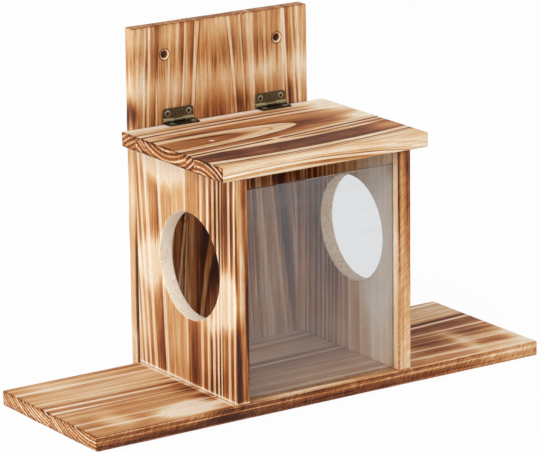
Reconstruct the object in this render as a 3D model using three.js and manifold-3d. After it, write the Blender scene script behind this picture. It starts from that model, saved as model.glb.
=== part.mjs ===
import * as THREE from 'three';
import { mergeVertices } from 'three/addons/utils/BufferGeometryUtils.js';
import Module from 'manifold-3d';

const wasm = await Module();
wasm.setup();

// A wooden feeding box for squirrels, in millimetres with +Z up. The front faces -Y.
// The origin is under the middle of the whole part, level with the underside of the base.

// Boards, all cut from stock of one thickness
const boardThickness = 10;
const edgeEase = 0.8;
const cornerRadius = 1.2;
const seatGap = 0.2;

// Box: the base is longer than the box is wide, so that a ledge stands out on each side
const baseLength = 350;
const boxWidth = 138;
const boxDepth = 119;
const wallHeight = 150;
const backRise = 77.5;

// Lid
const lidSideOverhang = 11.4;
const lidFrontOverhang = 4.2;
const lidBackGap = 2.2;
const lidRestGap = 0.8;

// Entrance holes; the right one is bored a little higher than the left one
const entranceDiameter = 72;
const entranceSetback = 55;
const leftEntranceHeight = 81.5;
const rightEntranceHeight = 87;

// Front pane and its grooves
const paneThickness = 2;
const paneSetback = 6;
const paneDrop = 9.6;
const paneEase = 0.3;
const grooveDepth = 3;
const grooveClearance = 0.3;

// Mounting holes through the back board
const mountBore = 5;
const mountSink = 7;
const mountSpacing = 89;
const mountDrop = 20;

// Butt hinges
const hingeLength = 24;
const leafReach = 8.5;
const leafThickness = 0.7;
const leafCorner = 2;
const knuckleRadius = 1.4;
const knuckleCount = 3;
const knuckleGap = 0.3;
const pinClearance = 0.1;
const pinProud = 0.3;
const pinChamfer = 0.2;
const leftHingeInset = 33.6;
const rightHingeInset = 30.8;
const hingeScrewSpacing = 16.5;
const hingeScrewReach = 5;
const hingeScrewProud = 0.1;

// Countersunk screws with a cross recess
const hingeScrew = {
  headRadius: 2.2, headDome: 0.2, headRim: 0.15, shankRadius: 1, length: 8, tip: 2,
  recessSpan: 2.4, recessWidth: 0.7, recessDepth: 0.7,
};
const boardScrew = {
  headRadius: 3, headDome: 0.2, headRim: 0.3, shankRadius: 1.5, length: 28, tip: 4,
  recessSpan: 3.6, recessWidth: 0.9, recessDepth: 1.1,
};
const screwClearance = 0.2;
const screwSink = 0.5;
const recessTurn = THREE.MathUtils.degToRad(37);

// Places of the screws that hold the boards together
const footScrewInset = 24;
const backScrewInset = 25;
const baseScrewSpacing = 80;

// Fineness of the round surfaces, and the overrun of every cut
const entranceSides = 64;
const boreSides = 24;
const screwSides = 16;
const cornerSteps = 3;
const easeSteps = 2;
const overrun = 1;

// Worked out from the sizes above; y is counted from the front edge of the base
const wallFoot = boardThickness + seatGap;
const wallTop = wallFoot + wallHeight;
const lidBottom = wallTop + lidRestGap;
const lidTop = lidBottom + boardThickness;
const wallFace = boxWidth / 2;
const innerFace = wallFace - boardThickness;
const backFace = boxDepth + seatGap;
const backRear = backFace + boardThickness;
const backTop = wallTop + backRise;
const pinY = backFace - seatGap - knuckleRadius;
const pinZ = lidTop + seatGap + knuckleRadius;
const boreRadius = knuckleRadius - leafThickness;
const middleY = (backRear - lidFrontOverhang) / 2;

const boardStyle = { color: 0xc98f58, roughness: 0.75, metalness: 0 };
const paneStyle = { color: 0xdfe6ea, roughness: 0.08, metalness: 0, transparent: true, opacity: 0.3 };
const bronzeStyle = { color: 0x5c4c34, roughness: 0.45, metalness: 0.9 };
const pinStyle = { color: 0x6b5a3e, roughness: 0.35, metalness: 0.9 };
const hingeScrewStyle = { color: 0x6e6350, roughness: 0.4, metalness: 0.9 };
const zincStyle = { color: 0xb9bcbe, roughness: 0.4, metalness: 0.9 };

// Makes a closed geometry a solid that can be cut and joined.
function toSolid(geometry) {
  const bare = geometry.clone();
  bare.deleteAttribute('normal');
  bare.deleteAttribute('uv');
  const merged = mergeVertices(bare);
  return new wasm.Manifold(new wasm.Mesh({
    numProp: 3,
    vertProperties: merged.attributes.position.array,
    triVerts: Uint32Array.from(merged.index.array),
  }));
}

function toGeometry(solid) {
  const { vertProperties, triVerts } = solid.getMesh();
  const indexed = new THREE.BufferGeometry();
  indexed.setAttribute('position', new THREE.BufferAttribute(vertProperties, 3));
  indexed.setIndex(new THREE.BufferAttribute(triVerts, 1));
  const geometry = indexed.toNonIndexed();
  geometry.computeVertexNormals();
  return geometry;
}

function named(name, geometry, style) {
  const mesh = new THREE.Mesh(geometry, new THREE.MeshStandardMaterial(style));
  mesh.name = name;
  return mesh;
}

// Points along an arc, both ends included.
function arc(x, y, radius, from, to, steps) {
  return Array.from({ length: steps + 1 }, (_, i) => {
    const angle = from + (to - from) * i / steps;
    return new THREE.Vector2(x + radius * Math.cos(angle), y + radius * Math.sin(angle));
  });
}

// A rectangle with its lower left corner at the origin and all four corners rounded.
function roundedRectangle(width, height, radius) {
  const right = Math.PI / 2;
  return new THREE.Shape([
    ...arc(width - radius, radius, radius, -right, 0, cornerSteps),
    ...arc(width - radius, height - radius, radius, 0, right, cornerSteps),
    ...arc(radius, height - radius, radius, right, 2 * right, cornerSteps),
    ...arc(radius, radius, radius, 2 * right, 3 * right, cornerSteps),
  ]);
}

// A flat piece with eased edges: width along x, height along y, thickness up from z = 0.
function slab(shape, thickness, ease, steps) {
  const geometry = new THREE.ExtrudeGeometry(shape, {
    depth: thickness - 2 * ease,
    bevelThickness: ease,
    bevelSize: ease,
    bevelOffset: -ease,
    bevelSegments: steps,
  });
  geometry.translate(0, 0, ease);
  return geometry;
}

function board(width, height) {
  return slab(roundedRectangle(width, height, cornerRadius), boardThickness, edgeEase, easeSteps);
}

// Stands a flat piece up facing the front: its face looks towards -Y and its height runs up.
function faceFront(mesh) {
  mesh.rotation.x = Math.PI / 2;
  return mesh;
}

// Stands a flat piece up facing the right: its width runs to the back and its height runs up.
function faceRight(mesh) {
  const axes = new THREE.Matrix4().makeBasis(
    new THREE.Vector3(0, 1, 0),
    new THREE.Vector3(0, 0, 1),
    new THREE.Vector3(1, 0, 0),
  );
  mesh.quaternion.setFromRotationMatrix(axes);
  return mesh;
}

// A round rod along z, from z = start, with its cross-section inside the radius.
function rod(radius, start, length, sides) {
  const geometry = new THREE.CylinderGeometry(radius, radius, length, sides);
  geometry.rotateX(Math.PI / 2);
  geometry.translate(0, 0, start + length / 2);
  return geometry;
}

// A turned shape about z from points of radius and height, listed from the bottom up.
function turned(points, sides) {
  const geometry = new THREE.LatheGeometry(points.map(([r, z]) => new THREE.Vector2(r, z)), sides);
  geometry.rotateX(Math.PI / 2);
  return geometry;
}

// Base board, flat on the ground.
function makeBase() {
  const mesh = named('base_board', board(baseLength, boxDepth), boardStyle);
  mesh.position.set(-baseLength / 2, 0, 0);
  return mesh;
}

// Side wall: bored for the entrance, and grooved for the pane on the face towards the box.
function makeSideWall(name, side, entranceHeight) {
  const shape = roundedRectangle(boxDepth, wallHeight, cornerRadius);
  const middle = entranceHeight - seatGap;
  const rim = arc(entranceSetback, middle, entranceDiameter / 2, 0, Math.PI * 2, entranceSides);
  shape.holes.push(new THREE.Path(rim.slice(1)));
  const blank = slab(shape, boardThickness, edgeEase, easeSteps);

  const grooveWidth = paneThickness + 2 * grooveClearance;
  const groove = new THREE.BoxGeometry(grooveWidth, wallHeight + 2 * overrun, grooveDepth + overrun);
  const grooveMiddle = (grooveDepth - overrun) / 2;
  groove.translate(
    paneSetback + paneThickness / 2,
    wallHeight / 2,
    side < 0 ? boardThickness - grooveMiddle : grooveMiddle,
  );
  const wall = toGeometry(toSolid(blank).subtract(toSolid(groove)));
  const mesh = faceRight(named(name, wall, boardStyle));
  mesh.position.set(side < 0 ? -wallFace : innerFace, 0, wallFoot);
  return mesh;
}

// Back board, behind the base and the walls, with two countersunk mounting holes near its top.
function makeBackBoard() {
  let solid = toSolid(board(boxWidth, backTop));
  const sink = (mountSink - mountBore) / 2;
  const hole = turned([
    [0, -overrun],
    [mountBore / 2, -overrun],
    [mountBore / 2, boardThickness - sink],
    [mountSink / 2, boardThickness],
    [mountSink / 2, boardThickness + overrun],
    [0, boardThickness + overrun],
  ], boreSides);
  for (const side of [-1, 1]) {
    const placed = hole.clone();
    placed.translate(boxWidth / 2 + side * mountSpacing / 2, backTop - mountDrop, 0);
    solid = solid.subtract(toSolid(placed));
  }
  const mesh = faceFront(named('back_board', toGeometry(solid), boardStyle));
  mesh.position.set(-wallFace, backRear, 0);
  return mesh;
}

// Lid board, placed from the hinge pins' axis.
function makeLid() {
  const width = boxWidth + 2 * lidSideOverhang;
  const depth = lidFrontOverhang + backFace - lidBackGap;
  const mesh = named('lid_board', board(width, depth), boardStyle);
  mesh.position.set(-width / 2, -lidFrontOverhang - pinY, lidBottom - pinZ);
  return mesh;
}

// Pane, standing on the base with its sides in the grooves of the walls.
function makePane() {
  const width = 2 * (innerFace + grooveDepth - grooveClearance);
  const height = wallTop - paneDrop - wallFoot;
  const shape = roundedRectangle(width, height, paneEase * 2);
  const geometry = slab(shape, paneThickness, paneEase, 1);
  const mesh = faceFront(named('front_pane', geometry, paneStyle));
  mesh.position.set(-width / 2, paneSetback + paneThickness, wallFoot);
  return mesh;
}

// Hinge leaf about a pin along x: the plate runs along +y, and lies on what is below it.
// The knuckles numbered odd or even are its own, and the others get a notch.
function makeLeaf(name, odd) {
  const corner = leafReach - leafCorner;
  const half = hingeLength / 2;
  const outline = new THREE.Shape([
    new THREE.Vector2(-half, 0),
    new THREE.Vector2(half, 0),
    ...arc(half - leafCorner, corner, leafCorner, 0, Math.PI / 2, cornerSteps),
    ...arc(leafCorner - half, corner, leafCorner, Math.PI / 2, Math.PI, cornerSteps),
  ]);
  const plate = new THREE.ExtrudeGeometry(outline, { depth: leafThickness, bevelEnabled: false });
  plate.translate(0, 0, -knuckleRadius);
  let solid = toSolid(plate);
  const knuckleLength = hingeLength / knuckleCount;
  for (let i = 0; i < knuckleCount; i += 1) {
    const own = (i % 2 === 1) === odd;
    const margin = own ? knuckleGap / 2 : -knuckleGap / 2;
    const start = i === 0 ? -half : i * knuckleLength - half + margin;
    const end = i === knuckleCount - 1 ? half : (i + 1) * knuckleLength - half - margin;
    if (own) {
      const knuckle = rod(knuckleRadius, start, end - start, boreSides);
      knuckle.rotateY(Math.PI / 2);
      solid = solid.add(toSolid(knuckle));
    } else {
      const reach = 2 * (knuckleRadius + knuckleGap);
      const spare = i === 0 || i === knuckleCount - 1 ? overrun : 0;
      const notch = new THREE.BoxGeometry(end - start + spare, reach, reach);
      notch.translate((start + end) / 2 + (i === 0 ? -spare : spare) / 2, 0, 0);
      solid = solid.subtract(toSolid(notch));
    }
  }
  const bore = rod(boreRadius, -half - overrun, hingeLength + 2 * overrun, boreSides);
  bore.rotateY(Math.PI / 2);
  return named(name, toGeometry(solid.subtract(toSolid(bore))), bronzeStyle);
}

// Hinge pin along x, its ends just proud of the knuckles.
function makePin(name) {
  const radius = boreRadius - pinClearance;
  const end = hingeLength / 2 + pinProud;
  const pin = turned([
    [0, -end],
    [radius - pinChamfer, -end],
    [radius, pinChamfer - end],
    [radius, end - pinChamfer],
    [radius - pinChamfer, end],
    [0, end],
  ], screwSides);
  pin.rotateY(Math.PI / 2);
  return named(name, pin, pinStyle);
}

// Half outline of a countersunk screw with its head's rim at z = 0 and its point below.
function screwOutline(size, grow) {
  const shank = size.shankRadius + grow;
  const head = size.headRadius + grow;
  const neck = -size.headRim - (size.headRadius - size.shankRadius);
  return [
    [0, -size.length - grow],
    [shank, -size.length - grow + size.tip],
    [shank, neck],
    [head, -size.headRim],
    [head, 0],
  ];
}

function makeScrew(name, size, style, turn) {
  const outline = screwOutline(size, 0);
  const domeStart = size.headRadius - size.headDome;
  const body = turned([...outline, [domeStart, size.headDome], [0, size.headDome]], screwSides);
  const slot = new THREE.BoxGeometry(size.recessSpan, size.recessWidth, 2 * size.recessDepth);
  slot.translate(0, 0, size.headDome);
  const crossSlot = slot.clone().rotateZ(Math.PI / 2);
  const recess = toSolid(slot).add(toSolid(crossSlot));
  const geometry = toGeometry(toSolid(body).subtract(recess));
  geometry.rotateZ(turn);
  const mesh = named(name, geometry, style);
  mesh.userData.size = size;
  return mesh;
}

// The space that a screw needs: its own shape grown by the clearance, and open above its head.
function screwSpace(size) {
  const outline = screwOutline(size, screwClearance);
  const open = size.headDome + screwSink + overrun;
  return turned([...outline, [size.headRadius + screwClearance, open], [0, open]], screwSides);
}

// Cuts room for each screw out of a piece that it passes through or ends in.
function boreFor(piece, screws) {
  const inward = piece.matrixWorld.clone().invert();
  let solid = toSolid(piece.geometry);
  for (const screw of screws) {
    const space = screwSpace(screw.userData.size);
    space.applyMatrix4(inward.clone().multiply(screw.matrixWorld));
    solid = solid.subtract(toSolid(space));
  }
  piece.geometry = toGeometry(solid);
}

// One hinge: the back leaf, its screws and the pin belong to the box, the other leaf to the lid.
function addHinge(side, x, box, lid) {
  const backLeaf = makeLeaf(`${side}_hinge_back_leaf`, false);
  backLeaf.position.set(x, pinY, pinZ);
  backLeaf.rotation.x = Math.PI / 2;
  const pin = makePin(`${side}_hinge_pin`);
  pin.position.set(x, pinY, pinZ);
  box.add(backLeaf, pin);
  const lidLeaf = makeLeaf(`${side}_hinge_lid_leaf`, true);
  lidLeaf.position.x = x;
  lidLeaf.rotation.z = Math.PI;
  lid.add(lidLeaf);

  const headHeight = knuckleRadius - leafThickness - hingeScrewProud;
  const backScrews = [];
  const lidScrews = [];
  [-1, 1].forEach((end, i) => {
    const across = x + end * hingeScrewSpacing / 2;
    const turn = recessTurn * (x > 0 ? i + 2 : i);
    const upright = makeScrew(`${side}_hinge_back_screw_${i + 1}`, hingeScrew, hingeScrewStyle, turn);
    upright.position.set(across, pinY + headHeight, pinZ + hingeScrewReach);
    upright.rotation.x = Math.PI / 2;
    const flat = makeScrew(`${side}_hinge_lid_screw_${i + 1}`, hingeScrew, hingeScrewStyle, -turn);
    flat.position.set(across, -hingeScrewReach, -headHeight);
    backScrews.push(upright);
    lidScrews.push(flat);
  });
  box.add(...backScrews);
  lid.add(...lidScrews);
  return { backLeaf, lidLeaf, backScrews, lidScrews };
}

// Screws up through the base into the foot of one side wall.
function addFootScrews(side, sign, box) {
  return [footScrewInset, boxDepth - footScrewInset].map((y, i) => {
    const screw = makeScrew(`${side}_foot_screw_${i + 1}`, boardScrew, zincStyle, recessTurn * i);
    screw.position.set(sign * (wallFace - boardThickness / 2), y, screwSink);
    screw.rotation.x = Math.PI;
    box.add(screw);
    return screw;
  });
}

// A screw from behind, through the back board.
function addRearScrew(name, x, z, box) {
  const screw = makeScrew(name, boardScrew, zincStyle, recessTurn * 2);
  screw.position.set(x, backRear - screwSink, z);
  screw.rotation.x = -Math.PI / 2;
  box.add(screw);
  return screw;
}

function addBackScrews(side, sign, box) {
  return [wallFoot + backScrewInset, wallTop - backScrewInset].map((z, i) => addRearScrew(
    `${side}_back_screw_${i + 1}`,
    sign * (wallFace - boardThickness / 2),
    z,
    box,
  ));
}

// The three bodies: the box stands still, the lid turns about the pins, the pane slides up.
const feeder = new THREE.Group();
feeder.position.y = -middleY;
const box = new THREE.Group();
const lid = new THREE.Group();
lid.position.set(0, pinY, pinZ);
const pane = new THREE.Group();
feeder.add(box, lid, pane);

const base = makeBase();
const back = makeBackBoard();
const leftWall = makeSideWall('left_side_wall', -1, leftEntranceHeight);
const rightWall = makeSideWall('right_side_wall', 1, rightEntranceHeight);
const lidBoard = makeLid();
box.add(base, back, leftWall, rightWall);
lid.add(lidBoard);
pane.add(makePane());

const leftHinge = addHinge('left', leftHingeInset - wallFace, box, lid);
const rightHinge = addHinge('right', wallFace - rightHingeInset, box, lid);
const leftFoot = addFootScrews('left', -1, box);
const rightFoot = addFootScrews('right', 1, box);
const leftBack = addBackScrews('left', -1, box);
const rightBack = addBackScrews('right', 1, box);
const baseBack = [-1, 1].map((sign, i) => addRearScrew(
  `base_back_screw_${i + 1}`,
  sign * baseScrewSpacing / 2,
  boardThickness / 2,
  box,
));

feeder.updateMatrixWorld(true);
boreFor(base, [...leftFoot, ...rightFoot, ...baseBack]);
boreFor(leftWall, [...leftFoot, ...leftBack]);
boreFor(rightWall, [...rightFoot, ...rightBack]);
boreFor(back, [...leftBack, ...rightBack, ...baseBack, ...leftHinge.backScrews, ...rightHinge.backScrews]);
boreFor(lidBoard, [...leftHinge.lidScrews, ...rightHinge.lidScrews]);
for (const hinge of [leftHinge, rightHinge]) {
  boreFor(hinge.backLeaf, hinge.backScrews);
  boreFor(hinge.lidLeaf, hinge.lidScrews);
}

export default feeder;
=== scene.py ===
import math
from functools import partial

import bmesh
import bpy
import numpy as np
from mathutils import Matrix, Vector


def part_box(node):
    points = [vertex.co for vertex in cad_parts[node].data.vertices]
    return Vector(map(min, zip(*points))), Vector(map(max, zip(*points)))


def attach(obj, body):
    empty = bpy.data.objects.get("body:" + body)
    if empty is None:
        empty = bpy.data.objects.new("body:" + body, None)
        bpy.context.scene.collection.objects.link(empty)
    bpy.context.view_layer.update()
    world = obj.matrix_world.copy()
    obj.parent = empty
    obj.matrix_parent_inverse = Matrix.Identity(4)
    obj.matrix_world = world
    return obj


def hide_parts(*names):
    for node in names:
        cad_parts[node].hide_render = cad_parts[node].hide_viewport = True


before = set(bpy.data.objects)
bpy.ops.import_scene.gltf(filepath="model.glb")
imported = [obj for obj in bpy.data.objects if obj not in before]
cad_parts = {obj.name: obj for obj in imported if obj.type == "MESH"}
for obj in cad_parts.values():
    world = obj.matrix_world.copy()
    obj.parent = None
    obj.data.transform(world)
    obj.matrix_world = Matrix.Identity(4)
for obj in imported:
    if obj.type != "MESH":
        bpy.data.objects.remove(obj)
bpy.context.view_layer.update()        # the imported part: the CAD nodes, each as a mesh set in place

mm = 0.001
axisNumber = {"x": 0, "y": 1, "z": 2}


# Small helpers for colours, nodes and meshes

def toLinear(hexColour):
    # sRGB hex to linear RGBA: the sRGB curve undone for each channel
    channels = [int(hexColour[i:i + 2], 16) / 255 for i in (1, 3, 5)]
    return tuple(c / 12.92 if c <= 0.04045 else ((c + 0.055) / 1.055) ** 2.4
                 for c in channels) + (1.0,)


def addNode(tree, kind, feeds=(), out=0, stops=None, **settings):
    # Adds a node, feeds its sockets with values or other outputs, and returns one output. A second
    # word in the kind is its operation. A plain tuple feeds the sockets in their own order, From and
    # To each feed a Min and a Max, and a stop's colour is hex or a grey level.
    kind, *operation = kind.split()
    node = tree.nodes.new("ShaderNode" + kind)
    for name, value in settings.items():
        setattr(node, name, value)
    if operation:
        node.operation = operation[0]
    feeds = dict(feeds if isinstance(feeds, dict) else enumerate(feeds))
    for span in {"From", "To"} & feeds.keys():
        feeds[f"{span} Min"], feeds[f"{span} Max"] = feeds.pop(span)
    for socket, value in feeds.items():
        if isinstance(value, bpy.types.NodeSocket):
            tree.links.new(value, node.inputs[socket])
        else:
            node.inputs[socket].default_value = toLinear(value) if isinstance(value, str) else value
    if stops:
        elements = node.color_ramp.elements
        elements.remove(elements[1])
        for i, (position, tone) in enumerate(stops):
            element = elements[0] if i == 0 else elements.new(position)
            element.position = position
            element.color = toLinear(tone) if isinstance(tone, str) else (tone, tone, tone, 1)
    return node.outputs[out] if node.outputs else None


def newMaterial(name):
    # a material with an empty tree, and addNode bound to that tree
    material = bpy.data.materials.new(name)
    material.use_nodes = True
    material.node_tree.nodes.clear()
    return material, partial(addNode, material.node_tree)


def softNoise(points, size, seed):
    # values from 0 to 1 that change smoothly over size mm: random lattice values,
    # blended along each axis with a smoothstep
    lattice = 32
    values = np.random.default_rng(seed).random((lattice,) * 3)
    cell = np.floor(points / size).astype(int)
    part = points / size - cell
    part = part * part * (3 - 2 * part)
    total = np.zeros(len(points))
    for corner in np.ndindex(2, 2, 2):
        weight = np.prod(np.where(corner, part, 1 - part), axis=1)
        total += weight * values[tuple(((cell + corner) % lattice).T)]
    return total


def meshFrom(name, points, faces, marks=None):
    # a mesh from points in mm, with a float attribute for each mark
    mesh = bpy.data.meshes.new(name)
    mesh.from_pydata(np.asarray(points) * mm, [], faces)
    for mark, values in (marks or {}).items():
        mesh.attributes.new(mark, "FLOAT", "POINT").data.foreach_set("value", values.astype(np.float32))
    return mesh


def linkPiece(name, mesh, materials, body, stands, smoothAngle=38):
    # puts a finished mesh into the scene as a piece that rides on a body and stands for CAD nodes
    mesh.name = name
    mesh.materials.clear()
    for material in materials:
        mesh.materials.append(material)
    mesh.polygons.foreach_set("use_smooth", np.ones(len(mesh.polygons), bool))
    mesh.set_sharp_from_angle(angle=math.radians(smoothAngle))
    piece = bpy.data.objects.new(name, mesh)
    bpy.context.scene.collection.objects.link(piece)
    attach(piece, body)
    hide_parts(*stands)
    return piece


def nodeBox(node):
    # the low and high corners of a CAD node, in mm
    return tuple(np.array(corner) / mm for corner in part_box(node))


# Camera, floor and light

camera = {                       # place and far in metres, angles in degrees, lens and sensor in mm
    "place": (-1.27518, -1.91822, 0.73185), "yaw": 33.829, "pitch": 15.175, "roll": -0.703,
    "lens": 240.51, "sensor": 36, "shift": (-0.02518, -0.0059), "far": 20,
}
studio = {
    "worldLevel": 0.63,          # what the surroundings give to matt surfaces
    "floorColour": "#FDFDFD", "floorRough": 0.9, "floorGloss": 0.1,
    "floorShare": 0.93,          # how far the floor shows as plain white to the camera
    "floorHalf": 4000, "floorDrop": 0.3,      # mm: half its width, and how far under the base it lies
    "aim": (0, 0, 0.1),          # metres: the lamps look at the middle of the box
    "lamps": {                   # power in watts, width and place in metres
        "softKey": (22.0, 1.6, (-1.7, -1.1, 2.1)),
        "lowLeft": (11.0, 1.0, (-2.15, -0.95, 0.75)),
        "softSide": (5.0, 1.4, (1.9, -1.6, 1.1)),
    },
}


def addCamera():
    yaw, pitch, roll = (math.radians(camera[k]) for k in ("yaw", "pitch", "roll"))
    turn = (Matrix.Rotation(-yaw, 4, "Z") @ Matrix.Rotation(math.pi / 2 - pitch, 4, "X")
            @ Matrix.Rotation(roll, 4, "Z"))
    data = bpy.data.cameras.new("photoCamera")
    data.sensor_width = camera["sensor"]
    data.lens = camera["lens"]
    data.shift_x, data.shift_y = camera["shift"]
    data.clip_end = camera["far"]
    cameraObject = bpy.data.objects.new("photoCamera", data)
    bpy.context.scene.collection.objects.link(cameraObject)
    cameraObject.matrix_world = Matrix.Translation(camera["place"]) @ turn
    bpy.context.scene.camera = cameraObject


def addAreaLight(name, power, size, place):
    data = bpy.data.lights.new(name, "AREA")
    data.energy, data.size, data.shape = power, size, "DISK"
    light = bpy.data.objects.new(name, data)
    bpy.context.scene.collection.objects.link(light)
    light.location = place
    toBox = Vector(studio["aim"]) - light.location
    light.rotation_euler = toBox.to_track_quat("-Z", "Y").to_euler()


def seenRay(add):
    # 1 for the rays that show the surroundings themselves: direct, mirrored or through the pane
    direct, mirrored, through = (add("LightPath", out=ray)
                                 for ray in ("Is Camera Ray", "Is Glossy Ray", "Is Transmission Ray"))
    return add("Math MAXIMUM", (add("Math MAXIMUM", (direct, mirrored)), through))


def addStudio():
    world = bpy.data.worlds.new("paleStudio")
    bpy.context.scene.world = world
    world.use_nodes = True
    world.node_tree.nodes.clear()
    add = partial(addNode, world.node_tree)
    level = add("Mix", {0: seenRay(add), 2: studio["worldLevel"], 3: 1.0})
    light = add("Background", {"Color": (1, 1, 1, 1), "Strength": level})
    add("OutputWorld", {"Surface": light})

    material, add = newMaterial("paleFloor")    # a matt white sweep, which shows only a soft shadow
    matt = add("BsdfPrincipled", {"Base Color": studio["floorColour"], "Roughness": studio["floorRough"],
                                  "Specular IOR Level": studio["floorGloss"]})
    white = add("Emission", {"Color": (1, 1, 1, 1), "Strength": 1.0})
    share = add("Math MULTIPLY", (seenRay(add), studio["floorShare"]))
    add("OutputMaterial", {"Surface": add("MixShader", (share, matt, white))})
    half = studio["floorHalf"]
    corners = [(x * half, y * half, -studio["floorDrop"]) for x, y in ((-1, -1), (1, -1), (1, 1), (-1, 1))]
    floorMesh = meshFrom("floor", corners, [(0, 1, 2, 3)])
    floorMesh.materials.append(material)
    floor = bpy.data.objects.new("floor", floorMesh)
    bpy.context.scene.collection.objects.link(floor)

    for lamp, (power, size, place) in studio["lamps"].items():
        addAreaLight(lamp, power, size, place)
    bpy.context.scene.view_settings.view_transform = "Standard"


addCamera()
addStudio()
print("camera and studio set")


# Scorched wood. Burn runs from 0, clean wood, to 1, char.

smokyTones = (           # slow heat: brown, then a dull purple brown
    (0.00, "#FFF4E6"), (0.05, "#F4E6D3"), (0.10, "#EED9BD"), (0.25, "#DEB68A"), (0.42, "#C58D5B"),
    (0.58, "#A4683F"), (0.74, "#7D4A2F"), (0.88, "#5C3828"), (1.00, "#432C23"),
)
toastedTones = (         # quick flame: orange tan, then a red brown
    (0.00, "#FFF4E6"), (0.05, "#F4E5D2"), (0.10, "#EED7BA"), (0.25, "#E2B884"), (0.42, "#CD9055"),
    (0.58, "#B06731"), (0.74, "#88441D"), (0.88, "#642E15"), (1.00, "#3E1D11"),
)
yearTones = ((0.0, 0.1), (0.28, 0.12), (0.42, 0.85), (0.92, 0.8), (1.0, 0.1))
noiseKinds = (           # label, mm along the grain, mm across it, detail, output
    ("drift", 120, 30, 1.0, "Color"),      # the slow wander of the rings
    ("ripple", 22, 5, 2.0, "Color"),
    ("streak", 80, 1.5, 4.0, "Fac"),       # bundles of fibres
    ("fibre", 22, 0.5, 2.0, "Fac"),        # single fibres, drawn about twice as wide as real ones
    ("patch", 34, 30, 2.0, "Fac"),         # the torch's passes
    ("pore", 5.0, 0.34, 1.0, "Fac"),
)
noiseSpan = (0.3, 0.7)   # where most of a noise's values lie
woodFinish = {
    "seedShift": 7.3,        # how far a board's noise moves for each step of its seed
    "ripple": 0.4,           # the ripple's share of the wander
    "paleBurn": 0.07,        # how much even the hard late wood browns
    "charRate": 0.55,        # how fast wood darkens past full toasting
    "mostScorch": 1.9,
    "feather": (20.0, 6.0),  # mm by which streaks and fibres draw out a scorch mark's rim
    "shortMark": 9.0,        # mm along the grain: marks up to this long keep a plain rim
    "yearShare": 0.5,        # the year rings' share on end grain
    "crumbs": (1.1, 3.0),    # torn fibres on cut wood: how many to a mm, and their detail
    "scratchDetail": 2.0,
    "rimFade": (0.1, 1.4),   # mm outside a hole's edge, where its burnt rim fades
    "pores": (0.34, 0.46), "poreBurn": 0.08,        # span of the pore noise, from a pore to plain wood
    "heatSpan": (0.35, 0.65), "endHeat": 0.5,       # end grain toasts more than it smokes
    "gloss": (0.55, 0.72),   # roughness of clean wood and of char
    "lateHeight": 0.5,       # brushing leaves the late wood proud
    "relief": 0.22 * mm, "reliefStrength": 0.6, "specular": 0.2,
}


def grainNoises(add, wood, place, along):
    # every kind of noise, stretched by its own lengths along the grain and across it
    noises = {}
    for label, length, width, detail, out in noiseKinds:
        stretch = tuple(1 / length if isGrain else 1 / width for isGrain in along)
        spread = add("VectorMath MULTIPLY", (place, stretch))
        shifted = add("VectorMath ADD", (spread, (wood["seed"] * woodFinish["seedShift"],) * 3))
        noises[label] = add("TexNoise", {"Vector": shifted, "Scale": 1.0, "Detail": detail}, out=out)
    return noises


def growthRings(add, wood, place, noises, along):
    # The rings' tone, and their depth: the distance in mm from a strip's pith line, which swings
    # by lean times share plus bow times share squared, where share runs from -1 to 1 along the board.
    warped = place
    for label, part in (("drift", 1.0), ("ripple", woodFinish["ripple"])):
        centred = add("VectorMath SUBTRACT", (noises[label], (0.5, 0.5, 0.5)))
        moved = add("VectorMath MULTIPLY", (centred, tuple(part * w for w in wood["wander"])))
        warped = add("VectorMath ADD", (warped, moved))

    crossways = add("SeparateXYZ", (place,), out=axisNumber[wood["across"]])
    lengthways = add("SeparateXYZ", (place,), out=axisNumber[wood["grain"]])
    share = add("Math DIVIDE", (add("Math SUBTRACT", (lengthways, wood["middle"])), wood["half"]))
    shareSquared = add("Math MULTIPLY", (share, share))
    acrossGrain = tuple(1.0 - isGrain for isGrain in along)
    tone = ringDepth = None
    for strip in wood["strips"]:
        offset = add("VectorMath SUBTRACT", (warped, strip["pith"]))
        for swing, by in (("lean", share), ("bow", shareSquared)):
            if swing in strip:
                reach = add("VectorMath SCALE", {0: strip[swing], "Scale": by})
                offset = add("VectorMath SUBTRACT", (offset, reach))
        flat = add("VectorMath MULTIPLY", (offset, acrossGrain))
        depth = add("VectorMath LENGTH", (flat,), out="Value")
        low, high = strip["rings"][0][0], strip["rings"][-1][0]
        reached = add("MapRange", {"Value": depth, "From": (low, high)})
        half = len(strip["rings"]) // 2      # a ramp holds 32 stops, so a long list takes two ramps
        ring = None
        for rings in (strip["rings"][:half + 1], strip["rings"][half:]):
            ramp = add("ValToRGB", {"Fac": reached}, stops=[((d - low) / (high - low), t) for d, t in rings])
            if ring is None:
                ring = ramp
            else:
                later = add("Math GREATER_THAN", (depth, rings[0][0]))
                ring = add("Mix", {0: later, 2: ring, 3: ramp})
        if tone is None:
            tone, ringDepth = ring, depth
        else:
            base, lean, bow = strip["seam"]
            line = add("Math MULTIPLY_ADD", (share, lean, base))
            line = add("Math MULTIPLY_ADD", (shareSquared, bow, line))
            beyond = add("Math GREATER_THAN", (crossways, line))
            tone = add("Mix", {0: beyond, 2: tone, 3: ring})
            ringDepth = add("Mix", {0: beyond, 2: ringDepth, 3: depth})
    return tone, ringDepth


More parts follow.
